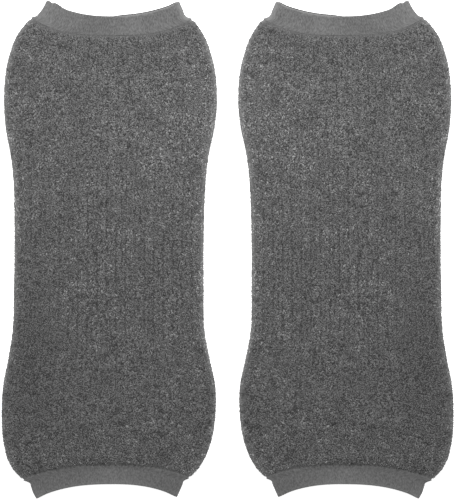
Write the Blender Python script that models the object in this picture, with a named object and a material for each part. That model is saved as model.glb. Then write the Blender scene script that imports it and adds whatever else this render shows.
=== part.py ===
"""A pair of knitted knee warmers, lying flat on a table side by side.

Each warmer is a knitted tube pressed flat. A thick pile sleeve is wide above the knee and at the calf and
narrower at the knee itself, and a thin elastic cuff at each end draws it in. The two are mirror images.

+Y runs up the leg, from the calf to the thigh, and +Z is up from the table. The origin is on the table,
midway between the two warmers and half way along them.
"""

import math
from collections import namedtuple

import bmesh
import bpy
import numpy as np

# Driving dimensions, in millimetres
LEG_SPACING = 167.4  # between the centre lines of the two warmers
THIGH_EDGE, THIGH_SEAM = 174.8, 162.9  # up the leg, at the folded edges
CALF_EDGE, CALF_SEAM = -174.7, -161.6
SEAM_GAP = 0.3  # between a sleeve and its cuffs
LIP = 0.4  # how far the rounded end of a wall runs past its last full ring
LIP_ROUND = 0.3  # share of a wall's thickness that its rounded end loses on each face
CROWN_POWER = 4  # how flat the upper layer stays across the middle
MELT = 0.001  # points closer than this are one
MM = 0.001  # metres in a millimetre

# Points round a ring, and the longest step between rings
FOLD_STEPS = 6
TOP_STEPS = 16
TABLE_STEPS = 6
RING_STEP = 12.0

# One ring of a pressed tube. Along is the place of its folded edges up the leg, outer and inner its half
# widths away from the other warmer and towards it. Bow is how far the middle of the ring lies below those
# edges, bend how sharply it turns up to reach them, and lean how much higher the inner edge is than the outer
# one, halved. Fold is the height of a folded edge, crown what the upper layer rises above it across the
# middle, and wall the cloth's thickness.
Ring = namedtuple("Ring", "along outer inner bow bend lean fold crown wall")

IN_SEAM = SEAM_GAP / 2 + LIP

SLEEVE = [
    Ring(CALF_SEAM + IN_SEAM, 60.3, 57.0, -9.5, 2.4, 0.7, 4.8, 0.2, 2.0),
    Ring(-160.4, 61.3, 57.9, -9.4, 2.4, 0.7, 5.9, 0.4, 2.5),
    Ring(-159.0, 63.0, 59.3, -9.2, 2.4, 0.7, 6.7, 0.7, 2.9),
    Ring(-156.5, 65.5, 61.7, -8.8, 2.4, 0.6, 7.0, 1.1, 3.0),
    Ring(-150.0, 70.0, 66.1, -7.8, 2.4, 0.3, 7.0, 1.5, 3.0),
    Ring(-138.0, 74.0, 71.2, -5.6, 2.4, 0.0, 7.0, 1.5, 3.0),
    Ring(-115.0, 76.1, 75.2, -2.0, 2.4, 0.0, 7.0, 1.0, 3.0),
    Ring(-95.0, 74.7, 74.9, -0.4, 2.4, 0.0, 7.0, 0.4, 3.0),
    Ring(-78.0, 71.0, 71.3, 0.0, 2.4, 0.0, 7.0, 0.0, 3.0),
    Ring(-58.0, 67.5, 67.5, 0.0, 2.5, 0.0, 7.0, -0.3, 3.0),
    Ring(-28.0, 66.4, 66.7, 0.0, 2.5, 0.0, 7.0, -0.4, 3.0),
    Ring(22.0, 66.1, 67.0, 0.0, 2.7, 0.0, 7.0, -0.4, 3.0),
    Ring(50.0, 66.6, 68.2, 0.0, 2.8, 0.0, 7.0, -0.3, 3.0),
    Ring(68.0, 69.2, 70.6, 0.1, 2.8, 0.0, 7.0, 0.0, 3.0),
    Ring(84.0, 72.3, 74.2, 0.5, 2.9, 0.0, 7.0, 0.4, 3.0),
    Ring(106.0, 73.8, 76.3, 2.2, 3.0, 0.0, 7.0, 1.0, 3.0),
    Ring(138.0, 69.7, 72.0, 7.2, 3.0, 0.0, 7.0, 1.5, 3.0),
    Ring(150.0, 65.1, 67.6, 9.7, 3.0, -0.2, 7.0, 1.5, 3.0),
    Ring(157.0, 60.0, 63.2, 11.2, 3.0, -0.3, 7.0, 1.1, 3.0),
    Ring(159.8, 57.0, 61.1, 11.7, 3.0, -0.4, 6.7, 0.7, 2.9),
    Ring(161.4, 55.5, 59.6, 11.9, 3.0, -0.4, 5.9, 0.4, 2.5),
    Ring(THIGH_SEAM - IN_SEAM, 54.6, 58.3, 12.0, 3.0, -0.4, 4.8, 0.2, 2.0),
]

CALF_CUFF = [
    Ring(CALF_EDGE + LIP, 51.2, 48.3, -9.5, 2.5, 0.5, 4.3, 0.2, 1.8),
    Ring(-170.2, 53.4, 50.2, -9.5, 2.5, 0.6, 4.3, 0.2, 1.8),
    Ring(-166.2, 54.7, 51.9, -9.5, 2.4, 0.7, 4.3, 0.2, 1.8),
    Ring(CALF_SEAM - IN_SEAM, 57.6, 54.6, -9.5, 2.4, 0.7, 4.3, 0.2, 1.8),
]

THIGH_CUFF = [
    Ring(THIGH_SEAM + IN_SEAM, 52.0, 55.2, 12.0, 3.0, -0.4, 4.3, 0.2, 1.8),
    Ring(165.2, 49.3, 53.8, 11.7, 2.8, -0.4, 4.3, 0.2, 1.8),
    Ring(169.0, 46.5, 52.0, 11.0, 2.4, -0.4, 4.3, 0.2, 1.8),
    Ring(THIGH_EDGE - LIP, 43.4, 49.3, 10.3, 2.2, -0.4, 4.3, 0.2, 1.8),
]

# Materials, with the colours of the yarn
PILE_GREY = (0.112, 0.112, 0.112)
CUFF_GREY = (0.160, 0.160, 0.160)
CLOTH_ROUGHNESS = 0.95
SHARP_ANGLE = math.radians(50)


def clear_scene():
    for obj in list(bpy.data.objects):
        bpy.data.objects.remove(obj, do_unlink=True)


def cloth(name, colour):
    material = bpy.data.materials.new(name)
    material.use_nodes = True
    shader = material.node_tree.nodes["Principled BSDF"]
    shader.inputs["Base Color"].default_value = (*colour, 1.0)
    shader.inputs["Roughness"].default_value = CLOTH_ROUGHNESS
    shader.inputs["Metallic"].default_value = 0.0
    return material


def smooth_rings(rows):
    """The rows and the rings between them, on a smooth curve through every column."""
    table = np.array(rows)
    slopes = np.gradient(table, table[:, 0], axis=0)
    rings = []
    for low, high, slope_low, slope_high in zip(table, table[1:], slopes, slopes[1:]):
        gap = high[0] - low[0]
        steps = math.ceil(gap / RING_STEP)
        for step in range(steps):
            t = step / steps
            rings.append(Ring(*(
                low * (1 + 2 * t) * (1 - t) ** 2
                + slope_low * gap * t * (1 - t) ** 2
                + high * t ** 2 * (3 - 2 * t)
                + slope_high * gap * t ** 2 * (t - 1)
            )))
    return rings + [rows[-1]]


def section(ring, inset):
    """The ring's loop as (across, height), drawn in from the cloth's outer face by inset."""
    half = ring.fold / 2
    radius = half - inset
    inner_fold, outer_fold = ring.inner - half, half - ring.outer
    points = []
    for step in range(FOLD_STEPS + 1):
        turn = math.pi * (step / FOLD_STEPS - 0.5)
        points.append((inner_fold + radius * math.cos(turn), half + radius * math.sin(turn)))
    for step in range(1, TOP_STEPS):
        share = step / TOP_STEPS
        crown = ring.crown * (1 - abs(2 * share - 1) ** CROWN_POWER)
        points.append((inner_fold + (outer_fold - inner_fold) * share, ring.fold + crown - inset))
    for step in range(FOLD_STEPS + 1):
        turn = math.pi * (step / FOLD_STEPS + 0.5)
        points.append((outer_fold + radius * math.cos(turn), half + radius * math.sin(turn)))
    for step in range(1, TABLE_STEPS):
        share = step / TABLE_STEPS
        points.append((outer_fold + (inner_fold - outer_fold) * share, inset))
    return points


def loop_points(ring, side, inset, past=0.0):
    """The ring's points in metres. side is -1 for the left warmer and 1 for the right one, whose inner edges
    face each other. past moves the ring up the leg."""
    points = []
    for across, height in section(ring, inset):
        share = across / (ring.inner if across > 0 else ring.outer)
        drawn = ring.bow * (1 - min(1, abs(share)) ** ring.bend)
        along = ring.along + past + ring.lean * share - drawn
        points.append((side * (LEG_SPACING / 2 - across) * MM, along * MM, height * MM))
    return points


def wall_loops(rows, side):
    """The loops of a tube's wall: up its outer face, over the rounded lip, and back down its inner face."""
    rings = smooth_rings(rows)
    first, last = rings[0], rings[-1]
    outer = [loop_points(first, side, LIP_ROUND * first.wall, -LIP)]
    outer += [loop_points(ring, side, 0.0) for ring in rings]
    outer.append(loop_points(last, side, LIP_ROUND * last.wall, LIP))
    inner = [loop_points(first, side, (1 - LIP_ROUND) * first.wall, -LIP)]
    inner += [loop_points(ring, side, ring.wall) for ring in rings]
    inner.append(loop_points(last, side, (1 - LIP_ROUND) * last.wall, LIP))
    return outer + inner[::-1]


def extruded(bm, verts, edges, points):
    """Extrudes a closed loop of edges to the given points, and returns the new loop in the same order."""
    made = bmesh.ops.extrude_edge_only(bm, edges=edges)["geom"]
    grown = {part for part in made if isinstance(part, bmesh.types.BMVert)}
    new_verts = [
        next(edge.other_vert(vert) for edge in vert.link_edges if edge.other_vert(vert) in grown)
        for vert in verts
    ]
    for vert, point in zip(new_verts, points):
        vert.co = point
    new_edges = [
        part for part in made
        if isinstance(part, bmesh.types.BMEdge) and set(part.verts) <= grown
    ]
    return new_verts, new_edges


def tube(name, rows, side, material):
    """A closed wall of cloth through the rows' rings, as one object."""
    loops = wall_loops(rows, side)
    bm = bmesh.new()
    verts = [bm.verts.new(point) for point in loops[0]]
    edges = [bm.edges.new(pair) for pair in zip(verts, verts[1:] + verts[:1])]
    for points in loops[1:] + loops[:1]:
        verts, edges = extruded(bm, verts, edges, points)
    bmesh.ops.remove_doubles(bm, verts=bm.verts[:], dist=MELT * MM)
    bmesh.ops.recalc_face_normals(bm, faces=bm.faces[:])
    mesh = bpy.data.meshes.new(name)
    bm.to_mesh(mesh)
    bm.free()
    mesh.shade_smooth()
    mesh.set_sharp_from_angle(angle=SHARP_ANGLE)
    mesh.materials.append(material)
    obj = bpy.data.objects.new(name, mesh)
    bpy.context.scene.collection.objects.link(obj)


def main():
    clear_scene()
    pile = cloth("pile_knit", PILE_GREY)
    rib = cloth("cuff_knit", CUFF_GREY)
    for leg, side in (("left", -1), ("right", 1)):
        tube(f"{leg}_sleeve", SLEEVE, side, pile)
        tube(f"{leg}_calf_cuff", CALF_CUFF, side, rib)
        tube(f"{leg}_thigh_cuff", THIGH_CUFF, side, rib)


main()
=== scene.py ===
"""The looks of a pair of knitted knee warmers, lying flat on a table side by side.

Each warmer is a knitted tube pressed flat. Its sleeve has a plain knitted ground that carries a thick pile
of short curled yarn, and a finely ribbed elastic cuff draws in each end. The two are mirror images.

The file is laid out as a Blender add-on, and is run as a script.
"""

import math
from collections import namedtuple

import bmesh
import bpy
import numpy as np
from bpy.props import FloatProperty, FloatVectorProperty, PointerProperty
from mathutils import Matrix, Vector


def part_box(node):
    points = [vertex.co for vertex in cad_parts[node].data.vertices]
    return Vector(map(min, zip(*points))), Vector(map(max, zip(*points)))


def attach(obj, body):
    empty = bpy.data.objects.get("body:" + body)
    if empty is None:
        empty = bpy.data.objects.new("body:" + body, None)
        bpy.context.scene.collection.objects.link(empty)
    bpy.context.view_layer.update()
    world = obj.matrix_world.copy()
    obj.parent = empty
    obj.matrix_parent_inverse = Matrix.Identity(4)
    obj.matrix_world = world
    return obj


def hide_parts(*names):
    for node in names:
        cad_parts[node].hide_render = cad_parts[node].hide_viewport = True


bl_info = {
    "name": "Knee Warmers",
    "version": (1, 0, 0),
    "blender": (4, 5, 0),
    "location": "3D View > Sidebar > Knitwear",
    "description": "Knits the pile sleeves and the ribbed cuffs of a pair of knee warmers",
    "category": "Add Mesh",
}

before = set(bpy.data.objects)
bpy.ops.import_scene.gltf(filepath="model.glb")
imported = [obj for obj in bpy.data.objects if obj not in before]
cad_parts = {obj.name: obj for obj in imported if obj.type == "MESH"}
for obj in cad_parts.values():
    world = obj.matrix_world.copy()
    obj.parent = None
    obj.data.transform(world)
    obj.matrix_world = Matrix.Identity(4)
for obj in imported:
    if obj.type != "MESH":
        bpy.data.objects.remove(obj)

MM = 0.001  # metres in a millimetre
MELT = 1e-6  # points closer than this, in metres, are one

# The form of a warmer, in millimetres. It follows its solids to about a millimetre, but for the cuffs beside
# their seams. One ring of a pressed tube: along is the place of its folded edges up the leg, outer and inner
# its half widths away from the other warmer and towards it. Bow is how far the middle of the ring lies below
# those edges, bend how sharply it turns up to reach them, and lean how much higher the inner edge is than
# the outer one, halved. Fold is the height of a folded edge, crown what the upper layer rises above it
# across the middle, and wall the cloth's thickness.
Ring = namedtuple("Ring", "along outer inner bow bend lean fold crown wall")

LEG_SPACING = 167.4  # between the centre lines of the two warmers
THIGH_EDGE, THIGH_SEAM = 174.8, 162.9  # up the leg, at the folded edges
CALF_EDGE, CALF_SEAM = -174.7, -161.6
SEAM_GAP = 0.3  # between a sleeve and its cuffs
LIP = 0.4  # how far the rounded end of a wall runs past its last full ring
LIP_ROUND = 0.3  # share of a wall's thickness that its rounded end loses on each face
JOIN = 0.54  # how far a wall runs past its last full ring where a sleeve and a cuff meet, a hair apart
JOIN_ROUND = 0.02  # share of a wall's thickness that its end loses on each face there
FREE_BEYOND = 170.0  # an end of a wall further up or down the leg than this is a free edge, not a join
CROWN_POWER = 4  # how flat the upper layer stays across the middle
IN_SEAM = SEAM_GAP / 2 + LIP
SKIN = 0.05  # how far inside its solid a sleeve's ground lies where it has no pile
BOX_MISS = 3.4  # the most that a piece's box may differ from its solid's

SLEEVE = [
    Ring(CALF_SEAM + IN_SEAM, 60.1, 56.4, -9.5, 2.4, 0.7, 4.8, 0.2, 2.0),
    Ring(-160.4, 61.6, 58.2, -9.4, 2.4, 0.7, 5.9, 0.4, 2.5),
    Ring(-159.0, 63.0, 59.3, -9.2, 2.4, 0.7, 6.7, 0.7, 2.9),
    Ring(-156.5, 65.5, 61.7, -8.8, 2.4, 0.6, 7.0, 1.1, 3.0),
    Ring(-150.0, 70.0, 66.1, -7.8, 2.4, 0.3, 7.0, 1.5, 3.0),
    Ring(-138.0, 73.7, 71.2, -5.6, 2.4, 0.0, 7.0, 1.5, 3.0),
    Ring(-115.0, 75.4, 75.2, -2.0, 2.4, 0.0, 7.0, 1.0, 3.0),
    Ring(-95.0, 74.3, 74.9, -0.4, 2.4, 0.0, 7.0, 0.4, 3.0),
    Ring(-78.0, 71.0, 71.3, 0.0, 2.4, 0.0, 7.0, 0.0, 3.0),
    Ring(-58.0, 67.8, 67.5, 0.0, 2.5, 0.0, 7.0, -0.3, 3.0),
    Ring(-28.0, 66.8, 66.8, 0.0, 2.5, 0.0, 7.0, -0.4, 3.0),
    Ring(22.0, 66.5, 67.1, 0.0, 2.7, 0.0, 7.0, -0.4, 3.0),
    Ring(50.0, 67.2, 68.4, 0.0, 2.8, 0.0, 7.0, -0.3, 3.0),
    Ring(68.0, 69.4, 70.6, 0.1, 2.8, 0.0, 7.0, 0.0, 3.0),
    Ring(84.0, 72.3, 74.2, 0.5, 2.9, 0.0, 7.0, 0.4, 3.0),
    Ring(106.0, 73.8, 76.3, 2.2, 3.0, 0.0, 7.0, 1.0, 3.0),
    Ring(138.0, 69.7, 72.0, 7.2, 3.0, 0.0, 7.0, 1.5, 3.0),
    Ring(150.0, 65.1, 67.6, 9.7, 3.0, -0.2, 7.0, 1.5, 3.0),
    Ring(157.0, 60.2, 63.5, 11.2, 3.0, -0.3, 7.0, 1.1, 3.0),
    Ring(159.8, 57.7, 61.5, 11.7, 3.0, -0.4, 6.7, 0.7, 2.9),
    Ring(161.4, 56.5, 60.5, 11.9, 3.0, -0.4, 5.9, 0.4, 2.5),
    Ring(THIGH_SEAM - IN_SEAM, 54.6, 58.5, 12.0, 3.0, -0.4, 4.8, 0.2, 2.0),
]

# Each cuff flares to its sleeve's width in its last millimetre
CALF_CUFF = [
    Ring(CALF_EDGE + LIP, 51.3, 48.3, -9.4, 2.5, 0.5, 4.3, 0.2, 1.8),
    Ring(-170.2, 53.7, 50.3, -9.5, 2.5, 0.6, 4.3, 0.2, 1.8),
    Ring(-166.2, 55.1, 52.2, -9.5, 2.4, 0.7, 4.3, 0.2, 1.8),
    Ring(-163.2, 56.9, 53.7, -9.5, 2.4, 0.7, 4.3, 0.2, 1.8),
    Ring(CALF_SEAM - IN_SEAM, 60.1, 56.4, -9.5, 2.4, 0.7, 4.6, 0.2, 1.8),
]

THIGH_CUFF = [
    Ring(THIGH_SEAM + IN_SEAM, 54.6, 58.5, 12.0, 3.0, -0.4, 4.6, 0.2, 1.8),
    Ring(164.3, 51.4, 55.6, 11.9, 2.9, -0.4, 4.3, 0.2, 1.8),
    Ring(165.6, 50.0, 54.0, 11.7, 2.8, -0.4, 4.3, 0.2, 1.8),
    Ring(169.0, 47.3, 52.6, 11.0, 2.4, -0.4, 4.3, 0.2, 1.8),
    Ring(THIGH_EDGE - LIP, 44.2, 50.0, 10.3, 2.2, -0.4, 4.3, 0.2, 1.8),
]

SIDES = {"left": -1, "right": 1}  # of the line between the two warmers

# The soft creases of the sleeve, in millimetres. Across is from the leg's centre line towards the
# other warmer, and turn is in degrees from the leg's line. A trough has a depth above 0, a ridge below 0.
Crease = namedtuple("Crease", "across along length width depth turn")

TOP_CREASES = [
    Crease(31.5, -141.0, 24.0, 3.0, 0.75, 4.0),
    Crease(38.5, -147.0, 14.0, 2.2, 0.40, -8.0),
    Crease(-2.5, -133.0, 18.0, 3.0, 0.35, 6.0),
    Crease(-20.0, -142.0, 15.0, 2.6, 0.40, -5.0),
    Crease(-41.0, -146.0, 13.0, 2.4, 0.30, 10.0),
    Crease(-57.0, -148.0, 22.0, 5.0, 0.70, 22.0),
    Crease(12.0, -147.0, 10.0, 2.0, 0.35, -3.0),
    Crease(54.0, -150.0, 16.0, 2.6, 0.45, -24.0),
    Crease(2.8, -66.0, 62.0, 1.6, -0.30, 0.0),
    Crease(3.0, -16.0, 22.0, 2.4, -0.35, 2.0),
    Crease(19.0, -110.0, 26.0, 2.0, -0.30, 92.0),
    Crease(32.0, -121.0, 20.0, 2.0, -0.30, 8.0),
    Crease(42.0, -33.0, 30.0, 1.8, -0.35, 122.0),
    Crease(42.0, 6.5, 44.0, 1.8, -0.40, 91.0),
    Crease(48.0, 64.0, 40.0, 2.2, -0.40, 80.0),
    Crease(36.0, 53.0, 22.0, 4.0, 0.45, 84.0),
    Crease(16.0, 42.0, 26.0, 3.0, 0.30, 96.0),
    Crease(-38.0, 22.0, 24.0, 5.0, -0.35, 70.0),
    Crease(-46.0, -14.0, 20.0, 4.0, 0.35, 80.0),
    Crease(20.0, 92.0, 30.0, 6.0, -0.35, 30.0),
    Crease(-30.0, 104.0, 26.0, 5.0, 0.30, 60.0),
    Crease(-36.0, 139.0, 13.0, 3.4, 0.40, 12.0),
    Crease(-8.0, 134.0, 11.0, 2.8, 0.30, -6.0),
    Crease(29.0, 138.0, 14.0, 3.2, 0.40, -10.0),
    Crease(50.0, 146.0, 15.0, 3.0, 0.45, -26.0),
]

TABLE_CREASES = [
    Crease(-34.0, -138.0, 22.0, 3.2, 0.60, 8.0),
    Crease(8.0, -140.0, 16.0, 2.6, 0.40, -6.0),
    Crease(44.0, -136.0, 20.0, 3.0, 0.55, -12.0),
    Crease(-6.0, 2.0, 46.0, 2.4, 0.35, 93.0),
    Crease(30.0, 58.0, 34.0, 3.0, 0.35, 78.0),
    Crease(-28.0, 140.0, 18.0, 3.0, 0.50, 10.0),
    Crease(26.0, 142.0, 15.0, 2.6, 0.40, -9.0),
]

GATHER_HEIGHT, GATHER_LENGTH = 0.5, 9.0  # of the fine gathers beside the seams, in millimetres

# The ribs of a cuff: on each layer and round each folded edge
FACE_RIBS, FOLD_RIBS = 55, 4
RIB_STEPS = 4  # of the mesh, over one rib

# The steps of each mesh: on the table side, round each folded edge and over the top, and then up the leg
GROUND_COLUMNS, GROUND_ROWS = (22, 9, 84), 196
LINING_COLUMNS, LINING_ROWS = (8, 4, 16), 40
CUFF_COLUMNS, CUFF_ROWS = (FACE_RIBS * RIB_STEPS, FOLD_RIBS * RIB_STEPS, FACE_RIBS * RIB_STEPS), 14
CUFF_LINING_COLUMNS, CUFF_LINING_ROWS = (32, 8, 48), 4
LIP_STEPS = (0.5, 0.85, 1.0)  # shares of the lip at which it has a ring

# The sleeve's wales, the rows of stitches that run up the leg: on each layer and round each folded edge
FACE_WALES, FOLD_WALES = 38, 3
WALE_PULL = 0.55  # how far the curls gather into the wales, from 0 to 1
PAIR_PULL = 0.6  # how far they gather into every second one, as a share of that
GROOVE_WIDTH = 0.24  # half the width of a groove, in wales
SHALLOW = 0.35  # depth of every second groove, as a share of the others'
WALE_STRIDE, WALE_SPAN = 37.0, 190.0  # how far apart wales read their noise, and over what width

# The curls of the pile
PILE_SIDES = 3  # of a curl's section
PILE_STATIONS = (-1.0, -0.42, 0.44, 1.0)  # along a curl, from root to root
PILE_REACH = math.radians(150)  # how far round a folded edge the pile goes, from the top
PILE_FLOOR = 0.6  # the pile stops this far above the table
ROW_JITTER, LEG_JITTER = 0.42, 0.5  # how far a curl may stand from its place, in spacings
LENGTHS, LIFTS, THICKS = (0.72, 1.28), (0.55, 1.25), (0.75, 1.25)  # of a curl, as shares of the pile's
BENDS = (-0.3, 0.3)  # how far a curl bends aside, in lengths
ARCH_TOP, ARCH_POWER, ARCH_FLOOR = 1.15, 2.4, 0.15  # a curl's arch, in rises
ROOT_DEPTH = 0.35  # how deep the roots lie in the ground, as a share of the pile's depth
OVERHANG = 0.5  # how much further the pile stands out at the sleeve's ends, in millimetres
CELL_MARGIN = 0.1  # round a curl in its cell of the UV map, in cells
GROWTH = 7  # seed of the pile's chance
EVEN_LIFT = 0.95  # a curl lifted this far is neither lighter nor darker for it: higher ones get painted light, lower ones painted shade
PLAIN_TONE = 0.455  # of a curl that nothing makes lighter or darker
EDGE_BAND = 6.0  # width of the band of painted highlight along each folded edge, in millimetres


def soft_noise(across, along, size, seed):
    """Smooth noise from -1 to 1 over the leg, with blots of about the given size in millimetres."""
    reach = 200.0  # the noise covers this much on each side of the leg's middle
    cells = math.ceil(2 * reach / size) + 2
    lattice = np.random.default_rng(seed).uniform(-1, 1, (cells, cells))
    x = (np.asarray(across) + reach) / size
    y = (np.asarray(along) + reach) / size
    i, j = np.floor(x).astype(int), np.floor(y).astype(int)
    u, v = x - i, y - j
    u, v = u * u * (3 - 2 * u), v * v * (3 - 2 * v)
    low = lattice[i, j] * (1 - u) + lattice[i + 1, j] * u
    high = lattice[i, j + 1] * (1 - u) + lattice[i + 1, j + 1] * u
    return low * (1 - v) + high * v


def by_wale(wale, along, size, seed):
    """Noise that differs from one wale to the next and runs on along each."""
    return soft_noise(np.mod(wale * WALE_STRIDE, WALE_SPAN), along, size, seed)


def smooth_step(value, start, end):
    """0 up to the start, 1 past the end, and smooth between them."""
    share = np.clip((value - start) / (end - start), 0, 1)
    return share * share * (3 - 2 * share)


def bell(value, width):
    """1 at 0, falling on both sides to about a third at the width and to nothing at twice that."""
    return np.exp(-(value / width) ** 2)


def ring_at(rows, along):
    """The tube's ring at each place up the leg, on a smooth curve through every column of its rows. Past
    them it is the nearest row."""
    table = np.array(rows)
    along = np.clip(along, table[0, 0], table[-1, 0])
    slopes = np.gradient(table, table[:, 0], axis=0)
    low = np.clip(np.searchsorted(table[:, 0], along, side="right") - 1, 0, len(table) - 2)
    gap = table[low + 1, 0] - table[low, 0]
    t = (along - table[low, 0]) / gap
    t, gap = t[..., None], gap[..., None]
    columns = (
        table[low] * (1 + 2 * t) * (1 - t) ** 2
        + slopes[low] * gap * t * (1 - t) ** 2
        + table[low + 1] * t ** 2 * (3 - 2 * t)
        + slopes[low + 1] * gap * t ** 2 * (t - 1)
    )
    return Ring(*np.moveaxis(columns, -1, 0))


def edge_distance(ring, across):
    """How far each place is from the nearer folded edge of its ring."""
    return np.minimum(ring.inner - across, ring.outer + across)


def top_share(turn):
    """1 on the upper layer, 0 on the table side, and between them round the folded edges."""
    around = np.mod(turn, 4)
    return np.clip(around, 0, 1) - np.clip(around - 2, 0, 1)


def wale_phase(turn):
    """How many wales lie between the start of the inner fold and each place round the leg."""
    ends = np.cumsum([-FACE_WALES, FACE_WALES, FOLD_WALES, FACE_WALES, FOLD_WALES, FACE_WALES])
    return np.interp(turn, range(-1, 5), ends)


def wale_strength(across, along):
    """How clearly the wales show, from 0 to a little over 1: most about the knee, and in patches."""
    knee = smooth_step(along, -105.0, -50.0) * (1 - 0.8 * smooth_step(along, 35.0, 80.0))
    inner = 0.6 + 0.4 * smooth_step(across, -40.0, 10.0)
    thigh = 0.35 * np.exp(-((across - 2.0) / 28.0) ** 2 - ((along - 122.0) / 22.0) ** 2)
    patches = 0.75 + 0.7 * soft_noise(across, along, 22.0, seed=44)
    return ((0.05 + 1.05 * knee) * inner + thigh) * patches


def grooves(phase, across, along):
    """How deep the grooves between the wales are, from 0 to 1. Every second one is deep, and broken."""
    off = 1 - np.abs(np.mod(phase - 0.5, 2) - 1)  # 0 in a deep groove, 1 in a shallow one
    stretch = by_wale(np.floor((phase - 0.5) / 2 + 0.5), along, 7.0, seed=46)
    deep = smooth_step(stretch, -0.1, 0.5) * bell(off, GROOVE_WIDTH)
    shallow = SHALLOW * bell(1 - off, GROOVE_WIDTH)
    return (deep + shallow) * np.clip(wale_strength(across, along), 0, 1)


def crease_heights(creases, across, along):
    """What the creases add to the height of the cloth, in millimetres."""
    height = np.zeros(np.shape(across))
    for crease in creases:
        turn = math.radians(crease.turn)
        dx, dy = across - crease.across, along - crease.along
        beside = dx * math.cos(turn) - dy * math.sin(turn)
        lengthways = dx * math.sin(turn) + dy * math.cos(turn)
        fade = np.exp(-(2 * lengthways / crease.length) ** 4)
        height -= crease.depth * fade * bell(beside, crease.width)
    return height


def section(ring, turn, inset):
    """(across, height) on the ring, drawn in from its outer face by inset. turn runs over four parts: 0 to 1
    up the inner fold, 1 to 2 over the top, 2 to 3 down the outer fold, and 3 to 4 back along the table."""
    part = np.floor(np.mod(turn, 4))
    share = np.mod(turn, 1)
    half = ring.fold / 2
    radius = half - inset
    inner_fold, outer_fold = ring.inner - half, half - ring.outer
    bent = math.pi * (share - 0.5 + (part == 2))
    crown = ring.crown * (1 - np.abs(2 * share - 1) ** CROWN_POWER)
    across = np.select(
        [part == 0, part == 1, part == 2],
        [
            inner_fold + radius * np.cos(bent),
            inner_fold + (outer_fold - inner_fold) * share,
            outer_fold + radius * np.cos(bent),
        ],
        outer_fold + (inner_fold - outer_fold) * share,
    )
    height = np.select(
        [part == 1, part == 3], [ring.fold + crown - inset, inset + 0 * share], half + radius * np.sin(bent)
    )
    return across, height


def cloth_points(rows, turn, along, inset, cuff=None):
    """Places on a face of the cloth, as (across, up, height) in millimetres. Past its last rings a wall's
    end is rounded. A cuff's free edge is moved a little up or down the leg."""
    held = np.clip(along, rows[0].along, rows[-1].along)
    past = along - held
    ring = ring_at(rows, held)
    free = np.abs(held) > FREE_BEYOND
    rounded = (past / np.where(free, LIP, JOIN)) ** 2 * np.where(free, LIP_ROUND, JOIN_ROUND) * ring.wall
    inset = inset + rounded * np.sign(ring.wall / 2 - inset)
    across, height = section(ring, turn, inset)
    share = across / np.where(across > 0, ring.inner, ring.outer)
    drawn = ring.bow * (1 - np.minimum(1, np.abs(share)) ** ring.bend)
    up = ring.along + past + ring.lean * share - drawn
    if cuff:
        up = up + edge_shift(cuff, turn, across, held)
    return across, up, height


def placed(across, up, height, side):
    """Places on a leg, in millimetres, as points of the part, in metres."""
    return np.stack([side * (LEG_SPACING / 2 - across), up, height], axis=-1) * MM


def ground_points(turn, along):
    """Places on the outer face of the sleeve's ground, below its pile, with the creases of each layer."""
    settings = bpy.context.scene.knee_warmers
    above = top_share(turn)
    fold = 4 * above * (1 - above)
    from_end = np.minimum(along - SLEEVE[0].along, SLEEVE[-1].along - along)
    depth = settings.pile_depth / MM * (1 - 0.95 * fold) * (0.2 + 0.8 * smooth_step(from_end, 0.0, 4.0))
    inset = depth * smooth_step(above, 0.0, 0.5) + SKIN
    across, up, height = cloth_points(SLEEVE, turn, along, inset)
    crests = soft_noise(across, up, 19.0, seed=31) * 0.25 + soft_noise(across, up, 4.2, seed=32) * 0.14
    ends = np.minimum(up - CALF_SEAM, THIGH_SEAM - up)
    gathers = GATHER_HEIGHT * np.exp(-np.maximum(ends, 0) / GATHER_LENGTH)
    gathers = gathers * soft_noise(across * 2.6, up * 0.35, 15.0, seed=33)
    flat = smooth_step(above, 0.75, 1.0)
    height = height + flat * (crests + gathers + crease_heights(TOP_CREASES, across, up))
    under = smooth_step(1 - above, 0.75, 1.0)
    height = height + under * np.maximum(0, -crease_heights(TABLE_CREASES, across, up))
    return across, up, height


def part_turns(table_columns, fold_columns, top_columns):
    """Places round a ring, from the middle of the table side and back to it."""
    half = table_columns // 2
    return np.concatenate([
        np.linspace(-0.5, 0, half, endpoint=False),
        np.linspace(0, 1, fold_columns, endpoint=False),
        np.linspace(1, 2, top_columns, endpoint=False),
        np.linspace(2, 3, fold_columns, endpoint=False),
        np.linspace(3, 3.5, half + 1),
    ])


def row_places(rows, count):
    """Places up the leg, with those of the rounded lip at either end."""
    low, high = rows[0].along, rows[-1].along
    lips = np.array(LIP_STEPS)
    below, above = (LIP if abs(end) > FREE_BEYOND else JOIN for end in (low, high))
    return np.concatenate([low - lips[::-1] * below, np.linspace(low, high, count + 1), high + lips * above])


# One face of a tube's wall: the places round and up the leg of its points, and the tone of its yarn at each
Face = namedtuple("Face", "turns alongs points tone")

# A tube's UV map has one strip for each face of its wall and one for each lip: (low, high) up the map
OUTER_STRIP, INNER_STRIP = (0.14, 0.99), (0.03, 0.11)
LIP_STRIPS = {"calf": (0.005, 0.02), "thigh": (0.118, 0.132)}
ENDS = {"calf": 1, "thigh": 2}  # marks on the points at a tube's two ends


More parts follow.
